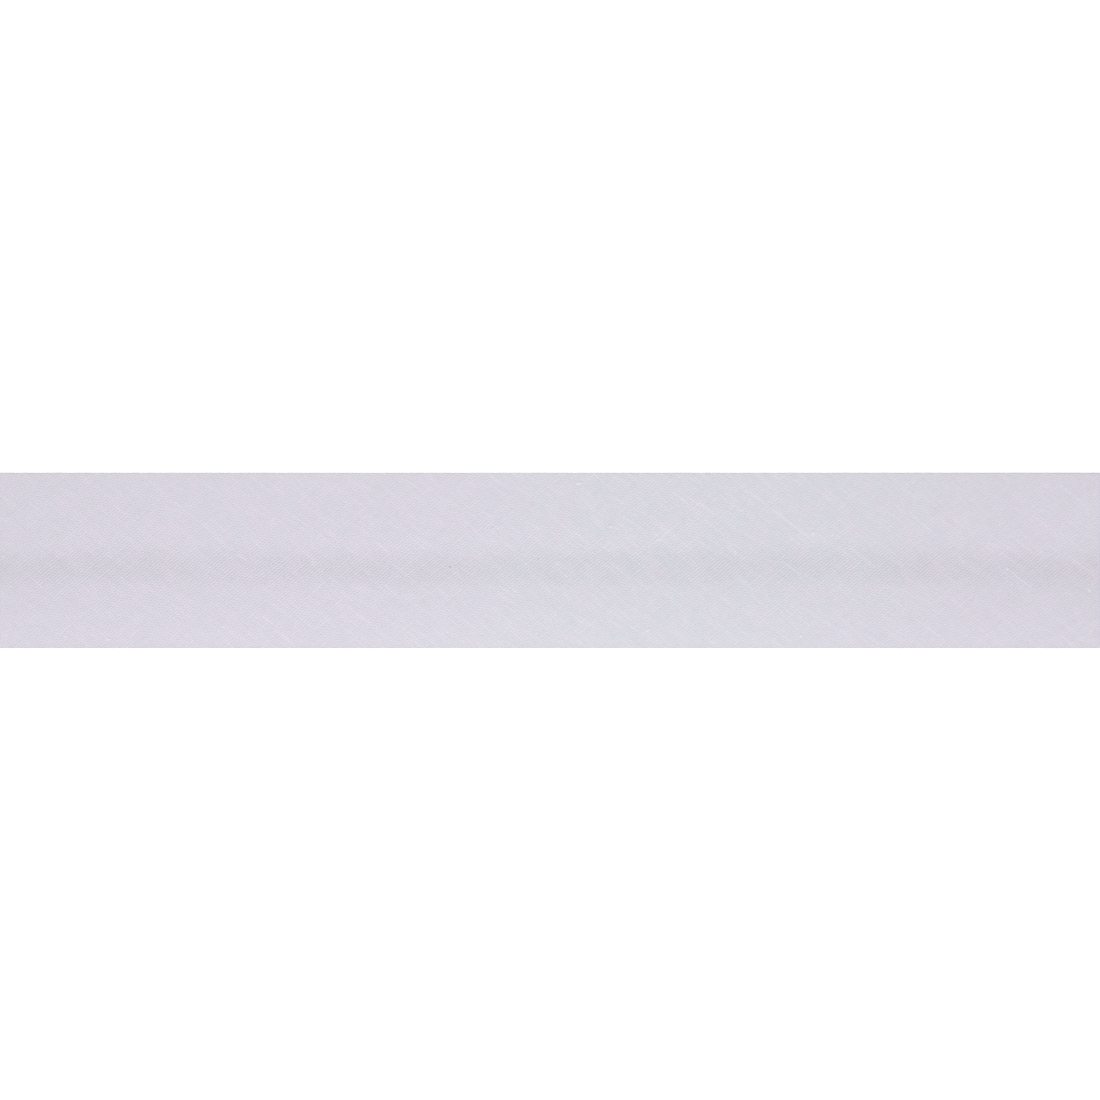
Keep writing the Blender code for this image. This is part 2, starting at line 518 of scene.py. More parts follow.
# %% The strip with its thickness
tape_mesh = bpy.data.meshes.new("folded_tape")
strip = bmesh.new()
last_row = len(rows_across(0)) - 1
bmesh.ops.create_grid(strip, x_segments=STEPS_ALONG, y_segments=last_row, size=0.5)
for vert in strip.verts:
    place = vert.co.x * LENGTH
    vert.co = (place, rows_across(place)[round((vert.co.y + 0.5) * last_row)], 0)
strip_map = strip.loops.layers.uv.new("strip")
for face in strip.faces:
    for corner in face.loops:
        corner[strip_map].uv = corner.vert.co.xy / MM
strip.to_mesh(tape_mesh)
strip.free()
tape = new_object("folded_tape", tape_mesh)

thickness = tape.modifiers.new("thickness", "SOLIDIFY")
thickness.thickness = CLOTH
thickness.offset = 0
to_plain_mesh(tape)
print(f"The flat strip has {len(tape.data.polygons)} faces on its two sides and round its rim")

# %% [markdown]
# ## A map for baking
#
# When the material is baked, it is drawn into a square picture. A long thin strip would waste
# most of a square, so the strip is cut into panels that fill it: each half of the outer side, in
# three bands, at full scale. The inner side and the rim hardly show, and they share the column
# that is left, at a fifth of the scale.

# %% Panels on a square sheet
SHEET_SIDE = 85.0  # all of these are in millimetres on the sheet
GUTTER = 0.6
SMALL_SCALE = 0.2
HALF_LENGTH = LENGTH / MM / 2
half_face = FOLD_END / MM
far_edge, near_edge = (max(raw_edge(side, r.along * MM) for r in GAP_READINGS) / MM for side in (1, -1))
far_flap = far_edge - half_face
near_flap = near_edge - half_face
BANDS = {
    "face": (-half_face, 2 * half_face),
    "far flap": (half_face, far_flap),
    "near flap": (-half_face - near_flap, near_flap),
}


def outer_place(middle_along, middle_across, along, across):
    """Where a corner of a face on the outer side goes, from the middle of its face."""
    bottom = GUTTER
    for start, tall in BANDS.values():
        for left in (-HALF_LENGTH, 0.0):
            if left < middle_along < left + HALF_LENGTH and start < middle_across < start + tall:
                return GUTTER + along - left, bottom + across - start
            bottom += tall + GUTTER
    raise ValueError(f"no panel holds the face at {middle_along:.1f}, {middle_across:.1f}")


def small_place(along, across, height, normal):
    """Where a corner of the inner side or of the rim goes, in the narrow column."""
    column = HALF_LENGTH + 2 * GUTTER
    from_left = along + HALF_LENGTH
    from_near = across + CUT_WIDTH / MM / 2 + 1  # a raw edge wanders by less than this millimetre
    if normal.z < -0.5:
        return column + SMALL_SCALE * from_near, GUTTER + SMALL_SCALE * from_left
    rims = GUTTER + 2 * SMALL_SCALE * HALF_LENGTH + GUTTER
    if abs(normal.y) > 0.5:
        shelf = column + (1 if normal.y > 0 else 2)
        return shelf + height, rims + SMALL_SCALE * from_left
    shelf = column + (3 if normal.x > 0 else 4)
    return shelf + height, rims + from_near


bake_map = tape.data.uv_layers.new(name="OFBake")
for face in tape.data.polygons:
    for loop in face.loop_indices:
        corner = tape.data.vertices[tape.data.loops[loop].vertex_index].co / MM
        if face.normal.z > 0.5:
            spot = outer_place(face.center.x / MM, face.center.y / MM, corner.x, corner.y)
        else:
            spot = small_place(*corner, face.normal)
        bake_map.data[loop].uv = (spot[0] / SHEET_SIDE, spot[1] / SHEET_SIDE)
reach = max(max(loop.uv) for loop in bake_map.data)
print(f"The panels fill {reach:.3f} of the sheet, at {1024 / SHEET_SIDE:.1f} pixels a millimetre in 1024")

# %% [markdown]
# ## Cotton poplin
#
# Poplin is a plain weave of fine, tightly spun cotton: each yarn goes over one yarn and under
# the next. It is matt, with a faint bloom of fibre ends. Its crosswise yarns are thick and lie
# nearly straight, and the fine lengthwise yarns that climb over them make the ribs that the eye
# sees. On bias tape both run at a slant, here 39 degrees up to the right and 38 down to the
# right, because the tape was stretched a little as it was pressed. The dye is a pale lavender
# grey, bluer right of the middle than at the ends.
#
# The weave is worked out on the "strip" map. The distance across a set of yarns, divided by
# their spacing, counts the yarns. A sine of that count makes each yarn round, and the sign of
# the other set's sine says which one is on top. Colour and relief both read that height: the
# relief as a bump, and the colour as painted shade in the hollows and between the ribs.

# %% The measures of the weave, in millimetres on the flat strip
RIB_ANGLE = math.radians(39.4)
RIB_SPACING = 0.309  # 32 thick yarns to a centimetre
FINE_ANGLE = math.radians(-37.6)
FINE_SPACING = 0.189  # 53 fine yarns to a centimetre
YARN_RELIEF = 0.052  # how far a crossing stands over the hollow beside it

crossings = WIDTH / MM * LENGTH / MM / RIB_SPACING / FINE_SPACING
print(f"The face alone has about {crossings:.0f} crossings, too many to model, so the weave is bump")

# %% The material, and where each point of it lies on the flat strip
PULLS_PER_MM = 0.12  # the cloth is pulled out of true in swells about 8 mm long
DRIFT = 0.5  # millimetres, at a strength of the noise that it hardly reaches

poplin = bpy.data.materials.new("cotton_poplin")
poplin.use_nodes = True
weave = poplin.node_tree
shader = weave.nodes["Principled BSDF"]
strip_place = add(weave, "ShaderNodeUVMap", uv_map="strip")
pull = add(weave, NOISE, {"Vector": strip_place, "Scale": PULLS_PER_MM, "Detail": 3.0}, noise_dimensions="2D")
pull_both_ways = add(weave, VECTOR_MATH, {0: pull.outputs["Color"], 1: (0.5, 0.5, 0.5)}, operation="SUBTRACT")
drift = add(weave, VECTOR_MATH, {0: pull_both_ways, "Scale": DRIFT}, operation="SCALE")
yarn_place = add(weave, VECTOR_MATH, {0: strip_place, 1: drift}, operation="ADD")
print("The yarns drift by a quarter of a millimetre over a centimetre, so that the weave isn't ruled")


# %% Noise that runs along the yarns
def streaks(number, run, yarns_alike, length):
    """Noise that runs along the yarns, from -0.5 to 0.5: a few neighbouring yarns are alike, and
    each changes over the given length in millimetres."""
    across = add(weave, MATH, {0: number, 1: 1 / yarns_alike}, operation="MULTIPLY")
    along_it = add(weave, MATH, {0: run, 1: 1 / length}, operation="MULTIPLY")
    place = add(weave, "ShaderNodeCombineXYZ", {0: across, 1: along_it})
    grain = {"Vector": place, "Scale": 1.0, "Detail": 2.0, "Roughness": 0.6}
    noise = add(weave, NOISE, grain, noise_dimensions="2D")
    return add(weave, MATH, {0: noise, 1: 0.5}, operation="SUBTRACT")


print("Uneven spinning makes streaks a few millimetres long")


# %% One set of yarns
UNEVEN_SPACING = 0.75  # of a yarn's spacing, but most yarns move by a tenth of it


def yarn_set(angle, spacing):
    """Nodes for one set of yarns: the sine of the count across them, which yarn this is, and
    how far along it, in millimetres."""
    count_yarns = (-math.sin(angle) / spacing, math.cos(angle) / spacing, 0)
    even_count = add(weave, VECTOR_MATH, {0: yarn_place, 1: count_yarns}, operation="DOT_PRODUCT")
    yarn_way = (math.cos(angle), math.sin(angle), 0)
    run = add(weave, VECTOR_MATH, {0: yarn_place, 1: yarn_way}, operation="DOT_PRODUCT")
    nudge = streaks(even_count, run, yarns_alike=2.0, length=8.0)
    count = add(weave, MATH, {0: nudge, 1: UNEVEN_SPACING, 2: even_count}, operation="MULTIPLY_ADD")
    half_turns = add(weave, MATH, {0: count, 1: math.pi}, operation="MULTIPLY")
    sine = add(weave, MATH, {0: half_turns}, operation="SINE")
    return sine, add(weave, MATH, {0: count}, operation="FLOOR"), run


rib_sine, rib_number, rib_run = yarn_set(RIB_ANGLE, RIB_SPACING)
fine_sine, fine_number, fine_run = yarn_set(FINE_ANGLE, FINE_SPACING)
print("Two sets of yarns, each with its count, its number and its run")


# %% Over and under
ROUNDNESS = 0.8  # under 1, so that a yarn is a little flatter on top than a sine


def yarn_height(own_sine, other_sine, over, groove, dip):
    """A yarn's height, of 1 at most. A groove parts it from the next yarn of its set, and it
    dips where the other set is on top. Over is 1 for the set that is on top at the first
    crossing, and -1 for the other."""
    size = add(weave, MATH, {0: own_sine}, operation="ABSOLUTE")
    rounded = add(weave, MATH, {0: size, 1: ROUNDNESS}, operation="POWER")
    grooved = add(weave, MATH, {0: rounded, 1: groove, 2: 1 - groove}, operation="MULTIPLY_ADD")
    parity = add(weave, MATH, {0: own_sine}, operation="SIGN")
    wave = add(weave, MATH, {0: other_sine, 1: parity}, operation="MULTIPLY")
    swing = add(weave, MATH, {0: wave, 1: over * dip / 2, 2: 1 - dip / 2}, operation="MULTIPLY_ADD")
    return add(weave, MATH, {0: grooved, 1: swing}, operation="MULTIPLY")


RIB_CROWN = 0.45  # the thick yarns lie deep, between the fine ones that climb over them
RIB_LIGHTNESS = 0.93  # but light reaches them nearly as well

rib_height = yarn_height(rib_sine, fine_sine, over=1, groove=0.6, dip=0.1)
fine_height = yarn_height(fine_sine, rib_sine, over=-1, groove=0.06, dip=1.0)
rib_top = add(weave, MATH, {0: rib_height, 1: RIB_CROWN}, operation="MULTIPLY")
weave_height = add(weave, MATH, {0: rib_top, 1: fine_height}, operation="MAXIMUM")
# How far light reaches each point of the weave, which sets the painted shade of the hollows
rib_light = add(weave, MATH, {0: rib_height, 1: RIB_LIGHTNESS}, operation="MULTIPLY")
openness = add(weave, MATH, {0: rib_light, 1: fine_height}, operation="MAXIMUM")
# Painted shade in the grooves between the thick yarns
rib_size = add(weave, MATH, {0: rib_sine}, operation="ABSOLUTE")
shade_between_ribs = add(weave, MATH, {0: 1.0, 1: rib_size}, operation="SUBTRACT")
print("The higher yarn at each point is the one that shows")


# %% Thick and thin, light and dark
NONE_ALIKE = 0.13  # noise read at steps this wide differs from each yarn to the next
PALE_CHANGES = 0.35  # in a millimetre, so a pale stretch of yarn is about 3 mm long
PALE_FROM = 0.6  # only where the noise is higher than this is a yarn paler
PALE_FULL = 0.85  # and from here on it is as pale as it gets

fine_streaks = streaks(fine_number, fine_run, yarns_alike=2.2, length=5.0)
each_fine_yarn = streaks(fine_number, fine_run, yarns_alike=NONE_ALIKE, length=3.0)
fine_yarn_on_top = add(weave, MATH, {0: each_fine_yarn, 1: fine_height}, operation="MULTIPLY")
each_rib = streaks(rib_number, rib_run, yarns_alike=NONE_ALIKE, length=5.0)
patches = streaks(fine_number, fine_run, yarns_alike=9.0, length=6.0)
crossing = add(weave, "ShaderNodeCombineXYZ", {0: rib_number, 1: fine_number})
chance = add(weave, "ShaderNodeTexWhiteNoise", {0: crossing}, noise_dimensions="2D")
each_crossing = add(weave, MATH, {0: chance, 1: 0.5}, operation="SUBTRACT")
pale_yarn_place = add(weave, "ShaderNodeCombineXYZ", {
    0: add(weave, MATH, {0: fine_number, 1: 1 / NONE_ALIKE}, operation="MULTIPLY"),
    1: add(weave, MATH, {0: fine_run, 1: PALE_CHANGES}, operation="MULTIPLY"),
})
pale_yarn_noise = add(weave, NOISE, {
    "Vector": pale_yarn_place,
    "Scale": 1.0,
    "Detail": 0.0,
}, noise_dimensions="2D")
pale_yarns = add(weave, MAP_RANGE, {0: pale_yarn_noise, 1: PALE_FROM, 2: PALE_FULL})
print("No two yarns are quite alike, nor any two crossings")

# %% Where the cloth is single, shade is painted into its colour
PATCHINESS = 1.5  # how much the patches weaken or deepen the dark
GAP_SHADE_IN_HOLLOWS = 2.2  # the dark shows this strongly in the hollows
GAP_SHADE_ON_YARNS = 0.45  # and this strongly everywhere

# Painted shade over the gap: light that goes through the single layer isn't sent back by a second one, so the
# colour is darkened there, most in the hollows and in patches
band = add(weave, "ShaderNodeAttribute", attribute_name="over_gap")
# Painted shade in the hollows between yarns, where less light reaches
hollow = add(weave, MATH, {0: 1.0, 1: openness}, operation="SUBTRACT")
patchy = add(weave, MATH, {0: patches, 1: -PATCHINESS, 2: 1.0}, operation="MULTIPLY_ADD")
uneven_band = add(weave, MATH, {0: band.outputs["Fac"], 1: patchy}, operation="MULTIPLY")
gap_shade_strength = add(weave, MATH, {0: hollow, 1: GAP_SHADE_IN_HOLLOWS, 2: GAP_SHADE_ON_YARNS}, operation="MULTIPLY_ADD")
gap_shade_mask = add(weave, MATH, {0: uneven_band, 1: gap_shade_strength}, operation="MULTIPLY")
print("The dark shows mostly between the yarns, and in patches, because thick yarns cross the gap")

# %% How much each of these changes the colour
PAINTED_GAP_SHADE = 0.046
PAINTED_HOLLOW_SHADE = 0.11
PAINTED_RIB_GROOVE_SHADE = 0.029
FINE_STREAK_SHADE = 0.01
FINE_YARN_SHADE = 0.135
RIB_SHADE = 0.04
PALE_YARN_SHADE = 0.028
CROSSING_SHADE = 0.028

# Painted shade: the hollows, the grooves between ribs and the single layer over the gap. The streaks, pale
# yarns and crossings are the yarns' own uneven tone.
shade_steps = (
    (hollow, -PAINTED_HOLLOW_SHADE),
    (shade_between_ribs, -PAINTED_RIB_GROOVE_SHADE),
    (fine_streaks, FINE_STREAK_SHADE),
    (fine_yarn_on_top, FINE_YARN_SHADE),
    (each_rib, RIB_SHADE),
    (pale_yarns, PALE_YARN_SHADE),
    (each_crossing, CROSSING_SHADE),
    (gap_shade_mask, -PAINTED_GAP_SHADE),
)
shade = 1.0
for source, amount in shade_steps:
    shade = add(weave, MATH, {0: source, 1: amount, 2: shade}, operation="MULTIPLY_ADD")
print(f"{len(shade_steps)} causes of light and dark are added up into one shade")

# %% The dye
BLUEST = 16.3  # the dye is bluest here, in millimetres along the tape from its middle
BLUE_CORE = 10.0  # it stays so for this far each way
BLUE_REACH = 37.0  # and past this far it is as purple as the rest
BLUE_SLANT = 0.5  # the bluer stretch leans, by this much along for each millimetre across
STAINS_PER_MM = 0.4  # the dye is uneven in small stains, 2 to 3 mm across
STAIN_LOW = 0.25  # most of the noise lies between these two
STAIN_HIGH = 0.75

stains = add(weave, NOISE, {
    "Vector": strip_place,
    "Scale": STAINS_PER_MM,
    "Detail": 3.0,
    "Roughness": 0.6,
}, noise_dimensions="2D")
stain_share = add(weave, MAP_RANGE, {0: stains, 1: STAIN_LOW, 2: STAIN_HIGH})
purple_dye, blue_dye = (
    add(weave, "ShaderNodeMix", {0: stain_share, 1: linear(one), 2: linear(other)}, data_type="RGBA")
    for one, other in (("#DAD4DF", "#D6D4DE"), ("#D9D5DF", "#D5D6DE"))
)
slanted = add(weave, VECTOR_MATH, {0: strip_place, 1: (1.0, -BLUE_SLANT, 0.0)}, operation="DOT_PRODUCT")
off_bluest = add(weave, MATH, {0: slanted, 1: BLUEST}, operation="SUBTRACT")
off_bluest_size = add(weave, MATH, {0: off_bluest}, operation="ABSOLUTE")
blue_share = add(weave, MAP_RANGE, {
    0: off_bluest_size,
    1: BLUE_REACH,
    2: BLUE_CORE,
}, interpolation_type="SMOOTHSTEP")
dye = add(weave, "ShaderNodeMix", {0: blue_share, 1: purple_dye, 2: blue_dye}, data_type="RGBA")
shaded_dye = add(weave, VECTOR_MATH, {0: dye, "Scale": shade}, operation="SCALE")
weave.links.new(shaded_dye.outputs[0], shader.inputs["Base Color"])
print(f"The dye is a pale lavender grey, bluest {BLUEST} mm right of the middle")

# %% Relief and surface
relief = add(weave, "ShaderNodeBump", {"Height": weave_height, "Distance": YARN_RELIEF * MM, "Strength": 1.0})
weave.links.new(relief.outputs[0], shader.inputs["Normal"])
set_values(shader, {
    "Roughness": 0.88,
    "Specular IOR Level": 0.25,
    "Sheen Weight": 0.12,
    "Sheen Roughness": 0.5,
})
print(f"cotton_poplin has {len(weave.nodes)} nodes")

# %% [markdown]
# ## A yarn by itself
#
# A slub, a nep and a frayed end are the same dyed cotton, but the painted shade of the hollows
# between yarns doesn't darken them, so they are a shade lighter than the cloth. Close up they
# show their twisted fibres, and the matted ones of a nep are rougher and a trace less blue.
# Broken seed coat is what cotton carries from the field: hard, dull flecks, here grey because
# the dye has tinted them.

# %% Spun cotton and seed coat
FIBRE_GRAIN = 0.04  # millimetres; a bundle of fibres, because one is too fine to show
FIBRE_DARK = 0.3  # most of the noise lies between these two
FIBRE_LIGHT = 0.7


def plain_finish(name, dark, light, roughness):
    """A matt finish that goes unevenly from a dark to a light colour, with a fine relief."""
    finish = bpy.data.materials.new(name)
    finish.use_nodes = True
    tree = finish.node_tree
    place = add(tree, "ShaderNodeTexCoord").outputs["Object"]
    noise = add(tree, NOISE, {"Vector": place, "Scale": 1 / (FIBRE_GRAIN * MM), "Detail": 2.0})
    share = add(tree, MAP_RANGE, {0: noise, 1: FIBRE_DARK, 2: FIBRE_LIGHT})
    colour = add(tree, "ShaderNodeMix", {0: share, 1: linear(dark), 2: linear(light)}, data_type="RGBA")
    bumps = add(tree, "ShaderNodeBump", {"Height": noise, "Distance": FIBRE_GRAIN / 2 * MM, "Strength": 0.5})
    surface = tree.nodes["Principled BSDF"]
    tree.links.new(colour.outputs["Result"], surface.inputs["Base Color"])
    tree.links.new(bumps.outputs[0], surface.inputs["Normal"])
    set_values(surface, {"Roughness": roughness, "Specular IOR Level": 0.25})
    return finish


spun_cotton = plain_finish("spun_cotton", dark="#D5D3DD", light="#DCDAE4", roughness=0.85)
matted_cotton = plain_finish("matted_cotton", dark="#D5D3DB", light="#DCDAE2", roughness=0.9)
seed_coat = plain_finish("seed_coat", dark="#9A9499", light="#BFBBC2", roughness=0.6)
print("Three small finishes, for what lies on the weave")

# %% [markdown]
# ## Slubs
#
# Cotton is never spun quite even. A fat stretch of yarn stands out of the weave as a slub: a
# bright line, 2 to 14 mm long, nearly always along the fine yarns. Those in the picture are read
# from end to end. The rest of the cloth gets about as many, from a fixed seed.
#
# A curve could be drawn for each, but a rule covers all of them. The tree below takes a bare
# path, rises over one rib and dips at the next, and lays a flat tube along it that thins out at
# its two ends.


# %% The slubs in the picture
class Slub(NamedTuple):
    """The two ends of a fat stretch of yarn, as pixels of the picture, and its width in mm."""

    column: float
    row: float
    end_column: float
    end_row: float
    width: float


SLUBS = (
    Slub(26, 500, 46, 516, 0.13),
    Slub(113, 588, 130, 604, 0.10),
    Slub(123, 484, 146, 502, 0.12),
    Slub(141, 475, 234, 550, 0.13),
    Slub(236, 553, 247, 561, 0.13),
    Slub(434, 586, 450, 598, 0.12),
    Slub(451, 583, 483, 607, 0.10),
    Slub(467, 551, 486, 566, 0.10),
    Slub(494, 514, 522, 537, 0.10),
    Slub(557, 569, 573, 582, 0.10),
    Slub(673, 485, 719, 521, 0.13),
    Slub(673, 618, 705, 641, 0.12),
    Slub(729, 476, 825, 550, 0.14),
    Slub(785, 563, 802, 577, 0.12),
    Slub(837, 618, 871, 643, 0.10),
    Slub(915, 619, 948, 641, 0.12),
    Slub(1008, 570, 1036, 591, 0.13),
    Slub(1028, 512, 1056, 533, 0.13),
    Slub(1038, 480, 1052, 491, 0.14),
    Slub(1056, 482, 1081, 502, 0.13),
    Slub(1056, 546, 1097, 577, 0.13),
    Slub(645, 550, 684, 519, 0.15),
    Slub(948, 539, 963, 527, 0.15),
)
print(f"{len(SLUBS)} slubs show in the picture, all but two along the fine yarns")


# %% Paths on the flat strip
def on_strip(place, margin):
    """Whether a place is on the flat strip, clear of its edges by a margin."""
    room = raw_edge(1 if place.y > 0 else -1, place.x) - abs(place.y)
    return room > margin and LENGTH / 2 - abs(place.x) > margin


def in_picture(place):
    """Whether a place is on the part of the face that the picture shows."""
    return abs(place.x) < picture_width / 2 and abs(place.y) < FOLD_LINE


def scattered(count, seed, margin):
    """Places spread by chance over the parts of the strip that the picture doesn't show."""
    draw = random.Random(seed)
    while count:
        place = Vector((draw.uniform(-1, 1) * LENGTH / 2, draw.uniform(-1, 1) * CUT_WIDTH / 2))
        if on_strip(place, margin) and not in_picture(place):
            count -= 1
            yield place, draw


OTHER_SLUBS = 30
fine_way = Vector((math.cos(FINE_ANGLE), math.sin(FINE_ANGLE)))
slub_paths = [
    (from_photo(slub.column, slub.row), from_photo(slub.end_column, slub.end_row), slub.width * MM)
    for slub in SLUBS
]
for place, draw in scattered(OTHER_SLUBS, seed=11, margin=3 * MM):
    reach = fine_way * draw.uniform(0.8, 3.0) * MM
    slub_paths.append((place - reach, place + reach, draw.uniform(0.10, 0.15) * MM))
print(f"{len(slub_paths)} slubs on the whole strip")


# %% A bare path for each slub
def bare_object(name, chains, attributes):
    """An object of loose edges that join each chain's points, with named values on the points.
    A chain is a list of points, each a place followed by its values."""
    mesh = bpy.data.meshes.new(name)
    work = bmesh.new()
    layers = [getattr(work.verts.layers, kind).new(label) for label, kind in attributes.items()]
    for chain in chains:
        verts = []
        for place, *values in chain:
            vert = work.verts.new((place.x, place.y, 0))
            for layer, value in zip(layers, values):
                vert[layer] = value
            verts.append(vert)
        for pair in zip(verts, verts[1:]):
            work.edges.new(pair)
    work.to_mesh(mesh)
    work.free()
    return new_object(name, mesh)


slub_chains = [[(start, width), (end, width)] for start, end, width in slub_paths]
slubs = bare_object("slubs", slub_chains, {"width": "float"})
print(f"The bare slubs are {len(slubs.data.edges)} edges")

# %% The tree that spins a slub
SWAYS_PER_METRE = 300  # a slub wanders in swells about 3 mm long

slub_tree, given = geometry_tree("spin_slubs", {
    "Step": "Float",
    "Wave Length": "Float",
    "Wave Height": "Float",
    "Lift": "Float",
    "Wander": "Float",
    "Flatness": "Float",
    "Yarn": "Material",
})
bare_path = add(slub_tree, "GeometryNodeMeshToCurve", {"Mesh": given["Geometry"]})
path = add(slub_tree, "GeometryNodeResampleCurve", {
    "Curve": bare_path,
    "Length": given["Step"],
}, mode="LENGTH")
way = add(slub_tree, "GeometryNodeSplineParameter")
waves = add(slub_tree, MATH, {0: way.outputs["Length"], 1: given["Wave Length"]}, operation="DIVIDE")
wave_turn = add(slub_tree, MATH, {0: waves, 1: math.tau}, operation="MULTIPLY")
wave = add(slub_tree, MATH, {0: wave_turn}, operation="COSINE")
lift = add(slub_tree, MATH, {0: wave, 1: given["Wave Height"], 2: given["Lift"]}, operation="MULTIPLY_ADD")
sway = add(slub_tree, NOISE, {
    "Vector": add(slub_tree, "GeometryNodeInputPosition"),
    "Scale": SWAYS_PER_METRE,
    "Detail": 1.0,
})
sway_both_ways = add(slub_tree, MATH, {0: sway, 1: 0.5}, operation="SUBTRACT")
wander = add(slub_tree, MATH, {0: sway_both_ways, 1: given["Wander"]}, operation="MULTIPLY")
offset = add(slub_tree, "ShaderNodeCombineXYZ", {1: wander, 2: lift})
waved = add(slub_tree, "GeometryNodeSetPosition", {"Geometry": path, "Offset": offset})
upright = add(slub_tree, "GeometryNodeSetCurveNormal", {"Curve": waved}, mode="Z_UP")
print("A slub's path goes over and under, and wanders a little")

# %% The slub's thickness
SLUB_SIDES = 10
BLUNTNESS = 0.3  # the power of a sine: the smaller it is, the blunter are the slub's ends

half_turn = add(slub_tree, MATH, {0: way.outputs["Factor"], 1: math.pi}, operation="MULTIPLY")
lens = add(slub_tree, MATH, {0: half_turn}, operation="SINE")
blunt_lens = add(slub_tree, MATH, {0: lens, 1: BLUNTNESS}, operation="POWER")
width_there = add(slub_tree, "GeometryNodeInputNamedAttribute", {"Name": "width"}, data_type="FLOAT")
half_width = add(slub_tree, MATH, {0: width_there, 1: 0.5}, operation="MULTIPLY")
thick = add(slub_tree, MATH, {0: half_width, 1: blunt_lens}, operation="MULTIPLY")
round_profile = add(slub_tree, "GeometryNodeCurvePrimitiveCircle", {"Resolution": SLUB_SIDES, "Radius": 1.0})
flatten = add(slub_tree, "ShaderNodeCombineXYZ", {0: 1.0, 1: given["Flatness"], 2: 1.0})
profile = add(slub_tree, "GeometryNodeTransform", {"Geometry": round_profile, "Scale": flatten})
tube = add(slub_tree, "GeometryNodeCurveToMesh", {
    "Curve": upright,
    "Profile Curve": profile,
    "Scale": thick,
    "Fill Caps": True,
})
real_tube = add(slub_tree, "GeometryNodeRealizeInstances", {"Geometry": tube})
finished_slub = add(slub_tree, "GeometryNodeSetMaterial", {"Geometry": real_tube, "Material": given["Yarn"]})
add(slub_tree, "NodeGroupOutput", {0: finished_slub})

SLUB_DEPTH = 0.012 * MM  # a slub's middle lies this far under the top of the cloth
between_ways = FINE_ANGLE - RIB_ANGLE
run_tree(slubs, slub_tree, {
    "Step": 0.06 * MM,
    "Wave Length": 2 * RIB_SPACING / abs(math.sin(between_ways)) * MM,
    "Wave Height": 0.006 * MM,
    "Lift": CLOTH / 2 - SLUB_DEPTH,
    "Wander": 0.25 * MM,
    "Flatness": 0.3,
    "Yarn": spun_cotton,
})
to_plain_mesh(slubs)
print(f"The slubs have {len(slubs.data.polygons)} faces")

# %% [markdown]
# ## Neps and seed coat
#
# A nep is a knot of tangled fibres, spun into the yarn, which shows as a small bright lump. Now
# and then a fleck of seed coat is spun in as well, and shows as a dark one. Both are the same
# small ball here, flattened and dented at random, so one tree sets them out with two finishes.


# %% The lumps in the picture
class Lump(NamedTuple):
    """The middle of a lump, as a pixel of the picture, and its width in millimetres."""

    column: float
    row: float
    width: float


NEPS = (
    Lump(107, 639, 0.36),
    Lump(579, 483, 0.5),
    Lump(611, 526, 0.48),
    Lump(648, 630, 0.5),
    Lump(660, 539, 0.34),
    Lump(748, 605, 0.28),
    Lump(801, 636, 0.36),
    Lump(813, 533, 0.48),
    Lump(1008, 569, 0.36),
    Lump(1090, 590, 0.36),
)
FLECKS = (
    Lump(346, 496, 0.14),
    Lump(397, 514, 0.12),
    Lump(439, 499, 0.12),
    Lump(450, 567, 0.18),
    Lump(471, 529, 0.12),
    Lump(493, 527, 0.12),
    Lump(538, 559, 0.16),
)
print(f"{len(NEPS)} neps and {len(FLECKS)} flecks show in the picture")

# %% The tree that sets out lumps
DENTS_PER_METRE = 9000  # a dent is about a tenth of a millimetre wide
LEAST_STRETCH = (0.9, 0.6, 1.0)  # times its width, because a lump is longer than it is wide
MOST_STRETCH = (1.4, 1.0, 1.0)

lump_tree, given = geometry_tree("set_out_lumps", {
    "Lift": "Float",
    "Flatness": "Float",
    "Dents": "Float",
    "Seed": "Int",
    "Finish": "Material",
})
spots = add(lump_tree, "GeometryNodeMeshToPoints", {"Mesh": given["Geometry"]})
ball = add(lump_tree, "GeometryNodeMeshIcoSphere", {"Radius": 0.5, "Subdivisions": 3})
size = add(lump_tree, "GeometryNodeInputNamedAttribute", {"Name": "width"}, data_type="FLOAT")
stretch = add(lump_tree, "FunctionNodeRandomValue", {
    "Min": LEAST_STRETCH,
    "Max": MOST_STRETCH,
    "Seed": given["Seed"],
}, data_type="FLOAT_VECTOR")
flatten = add(lump_tree, "ShaderNodeCombineXYZ", {0: 1.0, 1: 1.0, 2: given["Flatness"]})
flat_stretch = add(lump_tree, VECTOR_MATH, {0: stretch, 1: flatten}, operation="MULTIPLY")
scale = add(lump_tree, VECTOR_MATH, {0: flat_stretch, "Scale": size}, operation="SCALE")
turn = add(lump_tree, "FunctionNodeRandomValue", {
    "Min": (0, 0, 0),
    "Max": (0, 0, math.tau),
    "Seed": given["Seed"],
}, data_type="FLOAT_VECTOR")
balls = add(lump_tree, "GeometryNodeInstanceOnPoints", {
    "Points": spots,
    "Instance": ball,
    "Rotation": turn,
    "Scale": scale,
})
real_balls = add(lump_tree, "GeometryNodeRealizeInstances", {"Geometry": balls})
dent = add(lump_tree, NOISE, {
    "Vector": add(lump_tree, "GeometryNodeInputPosition"),
    "Scale": DENTS_PER_METRE,
    "Detail": 1.0,
})
dent_both_ways = add(lump_tree, MATH, {0: dent, 1: 0.5}, operation="SUBTRACT")
dent_depth = add(lump_tree, MATH, {0: dent_both_ways, 1: given["Dents"]}, operation="MULTIPLY")
dented_by = add(lump_tree, VECTOR_MATH, {
    0: add(lump_tree, "GeometryNodeInputNormal"),
    "Scale": dent_depth,
}, operation="SCALE")
